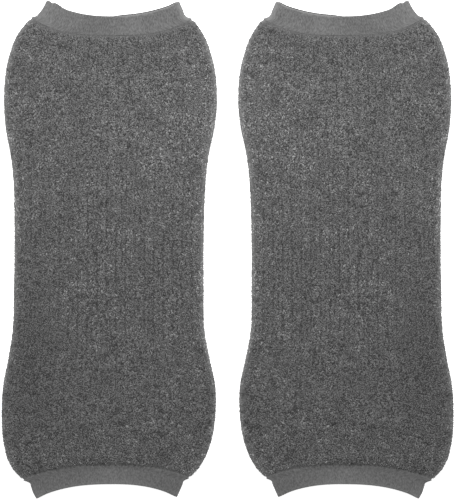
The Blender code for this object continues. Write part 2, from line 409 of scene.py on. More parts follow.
def rolled_grid(bm, cloth, strip):
    """Adds a flat grid to the mesh, and rolls it into a tube through the points of a face."""
    points = cloth.points
    rows, columns = points.shape[0] - 1, points.shape[1] - 1
    made = bmesh.ops.create_grid(bm, x_segments=columns, y_segments=rows, size=0.5)["verts"]
    place = bm.verts.layers.float_vector["knit_place"]
    tone = bm.verts.layers.float["yarn_tone"]
    end = bm.verts.layers.int["end"]
    uv = bm.loops.layers.uv["OFBake"]
    girth = np.linalg.norm(np.diff(points[rows // 2], axis=0), axis=1)
    around = np.concatenate([[0], np.cumsum(girth)])
    cell, marks = {}, {0: ENDS["calf"], rows: ENDS["thigh"]}
    for vert in made:
        column = round((vert.co.x + 0.5) * columns)
        row = round((vert.co.y + 0.5) * rows)
        cell[vert] = (column, row)
        vert[place] = (around[column], cloth.alongs[row] * MM, wale_phase(cloth.turns[column]))
        vert[tone] = cloth.tone[row, column]
        vert[end] = marks.get(row, 0)
        vert.co = points[row, column]
    low, high = strip
    for face in {face for vert in made for face in vert.link_faces}:
        for corner in face.loops:
            column, row = cell[corner.vert]
            corner[uv].uv = (around[column] / around[-1], low + (high - low) * row / rows)


def closed_ends(bm):
    """Joins the outer and the inner tube at both ends, and gives the lips strips of their own on the map."""
    uv = bm.loops.layers.uv["OFBake"]
    end = bm.verts.layers.int["end"]
    rims = [edge for edge in bm.edges if edge.is_boundary]
    for name, (low, high) in LIP_STRIPS.items():
        rim = [edge for edge in rims if edge.verts[0][end] == ENDS[name]]
        for face in bmesh.ops.bridge_loops(bm, edges=rim)["faces"]:
            for corner in face.loops:
                others = [other[uv].uv for other in corner.vert.link_loops if other.face != face]
                known = [place for place in others if place.y > INNER_STRIP[0]]
                if known:
                    outer = known[0].y > OUTER_STRIP[0]
                    corner[uv].uv = (known[0].x, high if outer else low)


def tube_mesh(name, outer, inner):
    """A closed wall of cloth between its outer and its inner face."""
    bm = bmesh.new()
    bm.verts.layers.float_vector.new("knit_place")
    bm.verts.layers.float.new("yarn_tone")
    bm.verts.layers.int.new("end")
    bm.loops.layers.uv.new("OFBake")
    rolled_grid(bm, outer, OUTER_STRIP)
    rolled_grid(bm, inner, INNER_STRIP)
    edge_verts = [vert for vert in bm.verts if vert.is_boundary]
    bmesh.ops.remove_doubles(bm, verts=edge_verts, dist=MELT)
    closed_ends(bm)
    bmesh.ops.recalc_face_normals(bm, faces=bm.faces[:])
    bm.verts.layers.int.remove(bm.verts.layers.int["end"])
    mesh = bpy.data.meshes.new(name)
    bm.to_mesh(mesh)
    bm.free()
    mesh.shade_smooth()
    return mesh


def new_piece(name, mesh, material):
    """Puts a finished mesh into the scene, on the part's body."""
    mesh.materials.append(material)
    piece = bpy.data.objects.new(name, mesh)
    bpy.context.scene.collection.objects.link(piece)
    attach(piece, "root")
    return piece


def fits(piece, node):
    """Raises an error unless the piece fills its solid's box."""
    corners = np.array([vert.co for vert in piece.data.vertices])
    low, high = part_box(node)
    miss = max(np.abs(corners.min(0) - low).max(), np.abs(corners.max(0) - high).max())
    if miss > BOX_MISS * MM:
        raise RuntimeError(f"{piece.name} is {miss / MM:.1f} mm off {node}")


def ground_tone(turn, along):
    """Which colours the ground has. From 0 down to -1 the grooves between the wales show more and more, as
    painted shade, from 0 up to 2 it is the bare cloth beside the cuffs and round the folds, with painted
    light from 1 up, and above 2 it is the table side, where painted colours stand for the pile and its
    shade."""
    ring = ring_at(SLEEVE, along)
    across = section(ring, turn, 0.0)[0]
    bare = 0.7 * (1 - smooth_step(SLEEVE[-1].along - along, 0.6, 3.0))
    # Painted light: lighter ground beside the calf seam and round the folds
    bare = np.maximum(bare, 1.8 * (1 - smooth_step(along - SLEEVE[0].along, 0.4, 2.6)))
    bare = np.maximum(bare, 2.0 * bell(edge_distance(ring, across), 2.6))
    shown = np.clip(wale_strength(across, along), 0, 1) * (1 - np.minimum(bare, 1))
    under = 1 - smooth_step(top_share(turn), 0.05, 0.35)
    return (bare - shown) * (1 - under) + 3.0 * under


def add_ground(leg, material):
    """The knitted ground of one sleeve, as a closed wall."""
    side, node = SIDES[leg], f"{leg}_sleeve"
    turns, alongs = part_turns(*GROUND_COLUMNS), row_places(SLEEVE, GROUND_ROWS)
    turn, along = np.meshgrid(turns, alongs)
    points = placed(*ground_points(turn, along), side)
    outer = Face(turns, alongs, points, ground_tone(turn, along))
    turns, alongs = part_turns(*LINING_COLUMNS), row_places(SLEEVE, LINING_ROWS)
    turn, along = np.meshgrid(turns, alongs)
    wall = ring_at(SLEEVE, along).wall
    points = placed(*cloth_points(SLEEVE, turn, along, wall), side)
    inner = Face(turns, alongs, points, np.zeros(turn.shape))
    mesh = tube_mesh(f"{node}_ground", outer, inner)
    piece = new_piece(f"{node}_ground", mesh, material)
    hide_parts(node)
    fits(piece, node)


def curl_template():
    """One closed curl of yarn: a tip, rings of a few sides and another tip, drawn out along the x axis."""
    bm = bmesh.new()
    ring = bmesh.ops.create_circle(bm, segments=PILE_SIDES, radius=1.0, cap_ends=False)["verts"]
    for vert in ring:
        vert.co = (PILE_STATIONS[1], vert.co.x, vert.co.y)
    first = edges = bm.edges[:]
    for low, high in zip(PILE_STATIONS[1:], PILE_STATIONS[2:-1]):
        grown = bmesh.ops.extrude_edge_only(bm, edges=edges)["geom"]
        moved = {part for part in grown if isinstance(part, bmesh.types.BMVert)}
        bmesh.ops.translate(bm, verts=list(moved), vec=(high - low, 0, 0))
        edges = [part for part in grown if isinstance(part, bmesh.types.BMEdge) and set(part.verts) <= moved]
    for rim, station in ((first, PILE_STATIONS[0]), (edges, PILE_STATIONS[-1])):
        tip = bm.verts.new((station, 0, 0))
        for edge in rim:
            bm.faces.new((*edge.verts, tip))
    bmesh.ops.recalc_face_normals(bm, faces=bm.faces[:])
    bm.verts.index_update()
    verts = np.array([vert.co for vert in bm.verts])
    faces = [[vert.index for vert in face.verts] for face in bm.faces]
    bm.free()
    return verts, faces


def pile_places(end, spacing):
    """Where the curls of one half of the pile stand, as (turn, along), in jittered rows from the sleeve's
    end to its middle, over all but the table side. The chance that placed them goes on to shape them."""
    chance = np.random.default_rng(GROWTH + round(max(end, 0)))
    middle = -math.copysign(spacing / 2, end)
    turns, alongs = [], []
    for row in np.linspace(end, middle, round(abs(end - middle) / spacing), endpoint=False):
        ring = ring_at(SLEEVE, np.array([row]))
        radius = float(ring.fold[0]) / 2
        top = float(ring.inner[0] + ring.outer[0]) - 2 * radius
        bent = PILE_REACH * radius
        count = round((top + 2 * bent) / spacing)
        place = np.arange(count) + 0.5 + chance.uniform(-ROW_JITTER, ROW_JITTER, count)
        place = place / count * (top + 2 * bent)
        turns.append(np.select(
            [place < bent, place < bent + top],
            [1 - (bent - place) / (math.pi * radius), 1 + (place - bent) / top],
            2 + (place - bent - top) / (math.pi * radius),
        ))
        alongs.append(row + chance.uniform(-LEG_JITTER, LEG_JITTER, count) * spacing)
    turn = np.concatenate(turns)
    along = np.clip(np.concatenate(alongs), SLEEVE[0].along, SLEEVE[-1].along)
    across = section(ring_at(SLEEVE, along), turn, 0.0)[0]
    phase = wale_phase(turn)
    single = np.sin(2 * math.pi * phase) / (2 * math.pi)
    double = -np.sin(math.pi * (phase - 0.5)) / math.pi
    drawn = WALE_PULL * (single + PAIR_PULL * double) * np.clip(wale_strength(across, along), 0, 1)
    turn = turn - drawn / np.where((turn > 1) & (turn < 2), FACE_WALES, FOLD_WALES)
    return turn, along, chance


def surface_frame(side, turn, along):
    """Points on the ground with the directions around the leg, up the leg and outwards."""
    step_turn, step_along = 0.002, 0.2

    def at(turn, along):
        return placed(*ground_points(turn, along), side)

    middle = at(turn, along)
    around = at(turn + step_turn, along) - middle
    upper = np.where(along + step_along > SLEEVE[-1].along, -1, 1)
    upwards = (at(turn, along + upper * step_along) - middle) * upper[:, None]
    around /= np.linalg.norm(around, axis=1, keepdims=True)
    outwards = np.cross(upwards, around) * side
    outwards /= np.linalg.norm(outwards, axis=1, keepdims=True)
    upwards = np.cross(around, outwards) * side
    return middle, around, upwards, outwards


# Soft lighter and darker places, in millimetres. Across is as for the creases. Along is up the leg
# on a cuff, and on a sleeve it is where the folded edges of the place's ring are. Wide and high are half
# sizes, and a tone above 0 is lighter.
Blot = namedtuple("Blot", "across along wide high tone")

SLEEVE_BLOTS = [
    Blot(-54.0, -72.0, 14.5, 50.0, -1.20),
    # A painted highlight along the outer fold at the knee
    Blot(-67.0, -42.0, 5.5, 36.0, 0.50),
    Blot(-8.0, -96.0, 15.0, 17.0, -0.20),
    Blot(31.0, 63.0, 10.0, 9.0, 0.42),
    Blot(17.0, 84.0, 13.0, 8.0, 0.18),
    Blot(-31.0, 74.0, 11.0, 7.0, 0.26),
    Blot(54.0, 38.0, 9.0, 9.0, 0.32),
    Blot(-32.0, -151.0, 28.0, 7.0, 0.34),
    Blot(-3.0, -18.0, 6.0, 20.0, 0.18),
    Blot(-46.0, -15.0, 14.0, 8.0, -0.14),
    Blot(-8.0, 142.0, 25.0, 6.0, -0.30),
    Blot(22.0, -12.0, 12.0, 14.0, -0.10),
    Blot(36.0, -118.0, 10.0, 16.0, 0.13),
    Blot(46.0, -58.0, 12.0, 16.0, 0.13),
    Blot(8.0, 97.0, 8.0, 6.0, 0.20),
    Blot(42.0, 97.0, 10.0, 12.0, 0.14),
    Blot(-36.0, 4.0, 10.0, 7.0, 0.18),
    Blot(5.0, 12.0, 10.0, 9.0, 0.18),
    Blot(40.0, 29.0, 8.0, 7.0, 0.28),
    Blot(41.0, 17.0, 8.0, 5.0, -0.16),
    Blot(-30.0, 97.0, 8.0, 7.0, -0.13),
    Blot(-20.0, 118.0, 18.0, 10.0, -0.12),
    Blot(-34.0, 46.0, 12.0, 16.0, -0.08),
    Blot(-4.0, -130.0, 7.0, 10.0, -0.14),
    Blot(42.0, -129.0, 8.0, 7.0, -0.14),
]


def blotted(blots, across, along):
    """What the blots add to the tone."""
    tone = np.zeros(np.shape(across))
    for blot in blots:
        tone += blot.tone * np.exp(
            -((across - blot.across) / blot.wide) ** 2 - ((along - blot.along) / blot.high) ** 2
        )
    return tone


def pile_shade(turn, across, along):
    """How much lighter or darker the yarn is from place to place, as a power of e: its own uneven tone, with
    painted light added.
    """
    from_edge = edge_distance(ring_at(SLEEVE, along), across)
    below_thigh = 1 - smooth_step(along, 30.0, 80.0)
    mottled = (0.22 + 0.14 * below_thigh) * soft_noise(across, along * 0.8, 3.6, seed=48)
    mottled += 0.22 * soft_noise(across, along, 8.0, seed=42)
    mottled += 0.12 * soft_noise(across, along, 30.0, seed=43)
    mottled += 0.04 * by_wale(np.floor(wale_phase(turn) + 0.5), along * 0.3, 9.0, seed=45)
    # Painted highlight: a lighter band along each folded edge
    edge = 0.18 * bell(from_edge, 1.6)
    edge += (0.54 + 0.08 * smooth_step(along, 90.0, 130.0)) * bell(from_edge, EDGE_BAND)
    # Painted light: lighter on the inner side of the thigh
    thigh = 0.12 * smooth_step(along, 30.0, 75.0) * bell(across - 64.0, 30.0)
    ends = 0.12 * smooth_step(-along, 122.0, 140.0) - 0.18 * smooth_step(-along, 40.0, 90.0)
    ends -= 0.36 * smooth_step(along, 122.0, 142.0) + 0.46 * smooth_step(along, 143.0, 155.0)
    # Painted light: lighter beside the calf seam, against the shade of the cloth sloping down to it
    ends += 0.75 * bell(along - SLEEVE[0].along, 2.6)
    # Its last term is painted light, growing lighter towards the other warmer
    return mottled + edge + thigh + ends + blotted(SLEEVE_BLOTS, across, along) + 0.09 * across / 70


def tone_spread(across, along, shade):
    """How much the tones of neighbouring curls differ: more on the thigh, less where the yarn is light."""
    from_edge = edge_distance(ring_at(SLEEVE, along), across)
    spread = 1.0 - 0.16 * smooth_step(-along, 40.0, 120.0) - 0.30 * smooth_step(-along, 135.0, 150.0)
    spread += 0.14 * smooth_step(along, 30.0, 90.0) + 0.25 * smooth_step(along, 122.0, 145.0)
    spread -= 0.35 * smooth_step(across, 42.0, 62.0) * smooth_step(along, 50.0, 80.0)
    spread = spread * np.exp(-0.7 * np.maximum(shade, 0))
    return spread * (1 - 0.65 * bell(from_edge, EDGE_BAND)) * (1 + bell(SLEEVE[-1].along - along, 3.0))


def add_pile(leg, half, end, material):
    """The pile over one half of a sleeve, as one mesh of many curls."""
    settings = bpy.context.scene.knee_warmers
    turn, along, chance = pile_places(end, settings.pile_spacing / MM)
    across = ground_points(turn, along)[0]
    count = len(turn)
    middle, around, upwards, outwards = surface_frame(SIDES[leg], turn, along)

    from_thigh = SLEEVE[-1].along - along
    from_end = np.minimum(along - SLEEVE[0].along, from_thigh)
    groove = grooves(wale_phase(turn), across, along)
    loose = 0.9 + 0.5 * soft_noise(across, along, 24.0, seed=41)
    loose = loose * (0.35 + 0.65 * smooth_step(from_end, 0.5, 3.0)) * (1 - 0.7 * groove)
    heading = chance.normal(0, 1, count) * loose
    ahead = around * np.sin(heading)[:, None] + upwards * np.cos(heading)[:, None]
    beside = np.cross(outwards, ahead)

    length = settings.pile_length * chance.uniform(*LENGTHS, count)
    crest = np.cos(2 * math.pi * wale_phase(turn)) * wale_strength(across, along)
    lift = chance.uniform(*LIFTS, count)
    pit = smooth_step(soft_noise(across, along, 2.4, seed=49), 0.25, 0.7)
    rise = settings.pile_depth * (lift + 0.25 * crest - 0.35 * groove - 0.2 * pit)
    thick = settings.pile_thickness * chance.uniform(*THICKS, count) / 2
    bend = settings.pile_length * chance.uniform(*BENDS, (2, count)) * SIDES[leg]

    verts, faces = curl_template()
    station = verts[:, 0]
    arch = ARCH_TOP * (1 - np.abs(station) ** ARCH_POWER) - ARCH_FLOOR
    sway = np.outer(bend[0], 1 - station ** 2) + np.outer(bend[1], station * (1 - station ** 2))
    forward = np.outer(length / 2, station)
    sideways = sway + np.outer(thick, verts[:, 1])
    overhang = OVERHANG * MM * (1 - smooth_step(from_end, 0.2, 2.0))
    outward = np.outer(rise, arch) - settings.pile_depth * ROOT_DEPTH
    outward = outward + np.outer(thick, verts[:, 2]) + overhang[:, None]
    points = (
        middle[:, None]
        + ahead[:, None] * forward[..., None]
        + beside[:, None] * sideways[..., None]
        + outwards[:, None] * outward[..., None]
    )
    # The pile starts unevenly below the thigh cuff
    start = 0.7 * soft_noise(across, along * 0.3, 2.6, seed=47) - 0.3
    clear = (points[..., 2].min(1) > PILE_FLOOR * MM) & (from_thigh > start)

    # Painted light and shade: lighter on the wales' crests, darker in their grooves and in the pits, most
    # beside the thigh cuff
    shade = pile_shade(turn, across, along) + 0.10 * crest - 0.7 * groove
    shade -= (1.1 + 1.2 * bell(from_thigh, 2.0)) * pit
    # Painted shadow along the edge where the pile starts below the thigh cuff
    shade -= 0.30 * bell(from_thigh - start, 1.8)
    spread = tone_spread(across, along, shade)
    lightest = 1.6 + 0.8 * smooth_step(along, 122.0, 145.0) - 0.35 * smooth_step(-along, 135.0, 150.0)
    tone = PLAIN_TONE * np.exp(shade) * np.clip(1 + spread * chance.normal(0, 1, count), 0.0, lightest)
    # Painted light: a curl that stands higher is lighter, a lower one darker
    tone = tone * (1 + 0.8 * (lift - EVEN_LIFT))
    mesh = joined_curls(f"{leg}_{half}_pile", points[clear], faces, np.clip(tone[clear], 0, 1))
    return new_piece(f"{leg}_{half}_pile", mesh, material)


def joined_curls(name, points, faces, tone):
    """One mesh of all the curls, each with its own tone and its own cell on the UV map."""
    count, size = points.shape[:2]
    corners = np.concatenate([np.array(face) for face in faces])
    lengths = np.array([len(face) for face in faces])
    mesh = bpy.data.meshes.new(name)
    mesh.vertices.add(count * size)
    mesh.vertices.foreach_set("co", points.reshape(-1).astype(np.float32))
    mesh.loops.add(count * len(corners))
    every = (np.arange(count)[:, None] * size + corners).reshape(-1)
    mesh.loops.foreach_set("vertex_index", every.astype(np.int32))
    mesh.polygons.add(count * len(faces))
    starts = np.concatenate([[0], np.cumsum(np.tile(lengths, count))[:-1]])
    mesh.polygons.foreach_set("loop_start", starts.astype(np.int32))
    mesh.update(calc_edges=True)

    shade = mesh.attributes.new("yarn_tone", "FLOAT", "POINT")
    shade.data.foreach_set("value", np.repeat(tone, size).astype(np.float32))
    uv = mesh.uv_layers.new(name="OFBake")
    side = math.ceil(math.sqrt(count))
    cell = np.stack([np.arange(count) % side, np.arange(count) // side], axis=-1)[:, None]
    local = np.concatenate([corner_places(face) for face in faces])[None]
    spots = (cell + CELL_MARGIN + (1 - 2 * CELL_MARGIN) * local) / side
    uv.data.foreach_set("uv", spots.reshape(-1).astype(np.float32))
    mesh.shade_smooth()
    return mesh


def corner_places(face):
    """Places in a curl's cell on the map for the corners of one face."""
    ring_count = len(PILE_STATIONS) - 2
    places = []
    for index in face:
        if index >= ring_count * PILE_SIDES:
            along = 0.0 if index == ring_count * PILE_SIDES else 1.0
            places.append((0.5, along))
        else:
            ring, corner = divmod(index, PILE_SIDES)
            places.append((corner / PILE_SIDES, (ring + 1) / (ring_count + 1)))
    return np.array(places)


# Small waves of the thigh cuff's free edge at its tips: across, half width and height, in millimetres
TIP_WAVES = ((-42.0, 1.6, 0.8), (-37.0, 4.2, 1.8), (-39.7, 0.9, -0.8), (47.5, 2.6, 1.0))
TIP_DROP = 0.55  # how far the calf cuff's free edge hangs lower at its tips
EDGE_START = 3.0  # a free edge is moved from this far beyond the cuff's seam on


def edge_shift(cuff, turn, across, along):
    """How far a cuff's free edge lies up or down the leg from its rings."""
    if cuff == "calf":
        tips = bell(across + 50.0, 4.5) + 0.8 * bell(across - 46.0, 4.5)
        return -TIP_DROP * tips * smooth_step(-along, -CALF_SEAM + EDGE_START, -CALF_EDGE - LIP)
    below = 1 - smooth_step(top_share(turn), 0.5, 1.0)
    back = smooth_step(across, -2.0, 12.0) * (1 - smooth_step(across, 45.0, 50.0))
    moved = bpy.context.scene.knee_warmers.rim_step / MM * back * below
    for place, width, height in TIP_WAVES:
        moved = moved + height * bell(across - place, width)
    return moved * smooth_step(along, THIGH_SEAM + EDGE_START, THIGH_EDGE - LIP)


CUFF_BLOTS = {
    "thigh": [
        Blot(-46.0, 165.0, 13.0, 14.0, 0.20),
        Blot(-12.0, 158.0, 13.0, 9.0, -0.10),
        Blot(17.0, 156.0, 8.0, 7.0, 0.12),
        Blot(37.0, 166.0, 10.0, 6.0, -0.05),
        Blot(54.0, 162.0, 4.5, 9.0, 0.14),
    ],
    "calf": [
        Blot(2.0, -163.0, 17.0, 9.0, 0.20),
        Blot(46.0, -164.0, 10.0, 9.0, -0.10),
        Blot(-50.0, -172.0, 4.0, 5.0, 0.14),
        Blot(-22.0, -156.0, 14.0, 5.0, -0.05),
    ],
}


# The tone of each cuff's yarn, what its free edge adds and how many millimetres that takes to fade, and what
# painted highlight its inner and its outer fold add and how wide it is
CuffTones = namedtuple("CuffTones", "plain edge fade inner inner_width outer outer_width")

CUFF_TONES = {
    "thigh": CuffTones(0.40, 0.20, 1.6, 0.62, 3.0, 0.20, 2.0),
    "calf": CuffTones(0.47, 0.36, 1.4, 0.30, 1.8, 0.40, 1.8),
}
RIM_HIGHLIGHT, RIM_WIDTH = 0.65, 0.75  # of the painted highlight on the fine rim of the thigh cuff's front layer
RIM_START, RIM_FULL = 1.9, 0.9  # how far below the free edge the ribs begin to fade and are gone
RIM_RISE = 0.18  # how far the rim stands out, in millimetres
# Painted shadow: a cuff's inner face is darker, for the shade inside the tube
CUFF_LINING_SHADOW = 0.1


def cuff_tone(cuff, rows, turn, along, across, up):
    """The tone of a cuff's yarn: its lighter free edge, painted highlights along its folds and on the thigh
    cuff's rim, its blots and a little unevenness.
    """
    tones, ring = CUFF_TONES[cuff], ring_at(rows, along)
    above = smooth_step(top_share(turn), 0.5, 1.0)
    from_edge = THIGH_EDGE - along if cuff == "thigh" else along - CALF_EDGE
    tone = tones.plain + tones.edge * above * np.exp(-from_edge / tones.fade)
    if cuff == "thigh":
        # Painted highlight on the rim of the thigh cuff's front layer
        rim = smooth_step(across, 2.0, 10.0) * (1 - smooth_step(across, 44.0, 49.0))
        tone += RIM_HIGHLIGHT * above * rim * bell(from_edge, RIM_WIDTH)
    # Painted highlight along both folds
    tone += tones.inner * bell(ring.inner - across, tones.inner_width)
    tone += tones.outer * bell(ring.outer + across, tones.outer_width)
    tone += blotted(CUFF_BLOTS[cuff], across, up)
    return tone + 0.04 * soft_noise(across, up, 3.0, seed=52) + 0.04 * soft_noise(across, up, 9.0, seed=53)


def rib_phase(turn):
    """How far round its rib each place is, from 0 to 1."""
    around = np.mod(turn, 4)
    ribs = np.where(np.mod(np.floor(around), 2) == 0, FOLD_RIBS, FACE_RIBS)
    return np.mod(np.mod(around, 1) * ribs, 1)


def add_cuff(leg, cuff, rows, material):
    """One ribbed cuff, as a closed wall."""
    settings = bpy.context.scene.knee_warmers
    side, node = SIDES[leg], f"{leg}_{cuff}_cuff"
    turns, alongs = part_turns(*CUFF_COLUMNS), row_places(rows, CUFF_ROWS)
    turn, along = np.meshgrid(turns, alongs)
    crest = np.sqrt(0.5 - 0.5 * np.cos(2 * math.pi * rib_phase(turn)))
    across = cloth_points(rows, turn, along, 0.0)[0]
    from_join = np.minimum(np.abs(along - CALF_SEAM), np.abs(along - THIGH_SEAM))
    depth = settings.rib_depth / MM * (1 + 0.4 * soft_noise(across, along, 5.0, seed=51))
    inset = depth * (0.25 + 0.75 * smooth_step(from_join, 1.0, 4.5)) * (1 - crest)
    if cuff == "thigh":
        rim = smooth_step(along, THIGH_EDGE - RIM_START, THIGH_EDGE - RIM_FULL)
        inset = inset * (1 - rim) - RIM_RISE * rim * smooth_step(top_share(turn), 0.5, 1.0)
    across, up, height = cloth_points(rows, turn, along, inset, cuff)
    tone = cuff_tone(cuff, rows, turn, along, across, up)
    outer = Face(turns, alongs, placed(across, up, height, side), tone)
    turns, alongs = part_turns(*CUFF_LINING_COLUMNS), row_places(rows, CUFF_LINING_ROWS)
    turn, along = np.meshgrid(turns, alongs)
    points = placed(*cloth_points(rows, turn, along, rows[0].wall, cuff), side)
    inner = Face(turns, alongs, points, np.full(turn.shape, CUFF_LINING_SHADOW))
    mesh = tube_mesh(f"{node}_rib", outer, inner)
    piece = new_piece(f"{node}_rib", mesh, material)
    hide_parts(node)
    fits(piece, node)


CLOTH_ROUGHNESS, CLOTH_GLOSS, SHEEN_ROUGHNESS = 0.92, 0.25, 0.5
PILE_SHEEN, CUFF_SHEEN, GROUND_SHEEN = 0.12, 0.08, 0.0

# How fine the noise is that stands for a curl's fibres, for the ground's stitches, for the curls on the
# table side, and for the streaks of a cuff round the leg and up it
FIBRES, STITCHES, TABLE_CURLS = 2200.0, 1200.0, 800.0
STREAKS = (1400.0, 700.0, 1.0)


class Shader:
    """A material's node tree, built node by node."""

    def __init__(self, name):
        self.material = bpy.data.materials.new(name)
        self.material.use_nodes = True
        self.tree = self.material.node_tree
        self.surface = self.tree.nodes["Principled BSDF"].inputs

    def node(self, kind, inputs=None, **settings):
        """A new node. Its inputs are given values, or linked to other nodes' outputs."""
        made = self.tree.nodes.new(kind)
        for name, value in settings.items():
            setattr(made, name, value)
        for name, value in (inputs or {}).items():
            if isinstance(value, bpy.types.NodeSocket):
                self.tree.links.new(value, made.inputs[name])
            else:
                made.inputs[name].default_value = value
        return made

    def attribute(self, name, output="Fac"):
        """What the mesh says at each of its points."""
        return self.node("ShaderNodeAttribute", attribute_name=name).outputs[output]

    def noise(self, place, scale, detail, roughness=0.5):
        """Fine unevenness, from 0 to 1."""
        inputs = {"Vector": place, "Scale": scale, "Detail": detail, "Roughness": roughness}
        return self.node("ShaderNodeTexNoise", inputs).outputs["Fac"]

    def math(self, operation, *values, clamped=False):
        """A number worked out from up to three others."""
        inputs = dict(enumerate(values))
        return self.node("ShaderNodeMath", inputs, operation=operation, use_clamp=clamped).outputs[0]

    def ranged(self, value, low, high, to_low=0.0, to_high=1.0):
        """A number that goes from to_low to to_high while the value goes from low to high."""
        inputs = {"Value": value, "From Min": low, "From Max": high, "To Min": to_low, "To Max": to_high}
        return self.node("ShaderNodeMapRange", inputs).outputs[0]

    def mixed(self, factor, low, high):
        """A colour between two, by the factor."""
        inputs = {0: factor, 6: low, 7: high}
        return self.node("ShaderNodeMix", inputs, data_type="RGBA", clamp_factor=True).outputs[2]

    def bump(self, height, strength, distance):
        """Gives the surface fine relief, of up to the distance in metres."""
        inputs = {"Height": height, "Strength": strength, "Distance": distance}
        self.tree.links.new(self.node("ShaderNodeBump", inputs).outputs["Normal"], self.surface["Normal"])

    def cloth(self, colour, sheen):
        """The finished material: the colour, and what is the same all over a dry cloth."""
        self.tree.links.new(colour, self.surface["Base Color"])
        self.surface["Roughness"].default_value = CLOTH_ROUGHNESS
        self.surface["Specular IOR Level"].default_value = CLOTH_GLOSS
        self.surface["Sheen Weight"].default_value = sheen
        self.surface["Sheen Roughness"].default_value = SHEEN_ROUGHNESS
        return self.material


def solid(colour):
    """A colour with its alpha, as a node takes it."""
    return (*colour, 1.0)


def pile_material():
    """Heathered yarn: each curl has its own tone, and its fibres vary it a little."""
    settings = bpy.context.scene.knee_warmers
    shader = Shader("pile_yarn")
    tone = shader.attribute("yarn_tone")
    fibres = shader.noise(shader.node("ShaderNodeTexCoord").outputs["Object"], FIBRES, 2.0)
    varied = shader.math("SUBTRACT", shader.math("MULTIPLY_ADD", fibres, 0.5, tone), 0.25)
    colour = shader.mixed(varied, solid(settings.yarn_dark), solid(settings.yarn_light))
    return shader.cloth(colour, PILE_SHEEN)


def ground_material():
    """The plain knit between the curls: darker, with its own stitches as a fine bump. Its tone says where it
    lies bare, and where its grooves or its table side show. The grooves get painted shade, and the folds and
    the ground beside the calf seam painted light."""
    settings = bpy.context.scene.knee_warmers
    shader = Shader("ground_knit")
    dark, place = solid(settings.yarn_dark), shader.node("ShaderNodeTexCoord").outputs["Object"]
    flecks = shader.noise(place, STITCHES, 2.0)
    stitch = shader.attribute("knit_place", "Vector")
    wale = shader.node("ShaderNodeSeparateXYZ", {"Vector": stitch}).outputs["Z"]
    crest = shader.math("COSINE", shader.math("MULTIPLY", wale, 2 * math.pi))
    raised = shader.math("MULTIPLY_ADD", crest, 0.08, 0.92)
    # Painted shade: darker along the grooves between the wales
    from_groove = shader.math("PINGPONG", shader.math("SUBTRACT", wale, 0.5), 1.0)
    line = shader.ranged(from_groove, 0.0, GROOVE_WIDTH, 0.55, 0.0)
    bare = shader.attribute("yarn_tone")
    groove = shader.math("MULTIPLY", line, shader.math("MULTIPLY", bare, -1.0, clamped=True))
    open_tone = shader.math("SUBTRACT", raised, groove)
    tone = shader.math("MULTIPLY", shader.ranged(flecks, 0.42, 0.6), open_tone)
    knit = shader.mixed(tone, dark, solid(settings.ground_grey))
    colour = shader.mixed(bare, knit, solid(settings.seam_grey))
    # Painted light round the folds and beside the calf seam
    colour = shader.mixed(shader.math("SUBTRACT", bare, 1.0), colour, solid(settings.painted_light_grey))
    # The table side's heather stands for the pile, darkened for its shade: painted shade
    heather = shader.ranged(shader.noise(place, TABLE_CURLS, 3.0, 0.7), 0.42, 0.62, 0.0, 0.34)
    below = shader.mixed(heather, dark, solid(settings.yarn_light))
    colour = shader.mixed(shader.math("SUBTRACT", bare, 2.0), colour, below)
    shader.bump(flecks, 0.8, 0.6 * MM)
    return shader.cloth(colour, GROUND_SHEEN)


def cuff_material():
    """Plain elastic rib: grey yarn with faint streaks."""
    settings = bpy.context.scene.knee_warmers
    shader = Shader("cuff_rib")
    place = shader.attribute("knit_place", "Vector")
    drawn = shader.node("ShaderNodeMapping", {"Vector": place, "Scale": STREAKS})
    streaks = shader.noise(drawn.outputs["Vector"], 1.0, 3.0)
    tone, spread = shader.attribute("yarn_tone"), shader.ranged(streaks, 0.25, 0.75)
    streaked = shader.math("MULTIPLY_ADD", spread, 0.9, tone)
    varied = shader.math("SUBTRACT", streaked, 0.45)
    colour = shader.mixed(varied, solid(settings.cuff_dark), solid(settings.cuff_light))
    shader.bump(streaks, 0.5, 0.3 * MM)
    return shader.cloth(colour, CUFF_SHEEN)


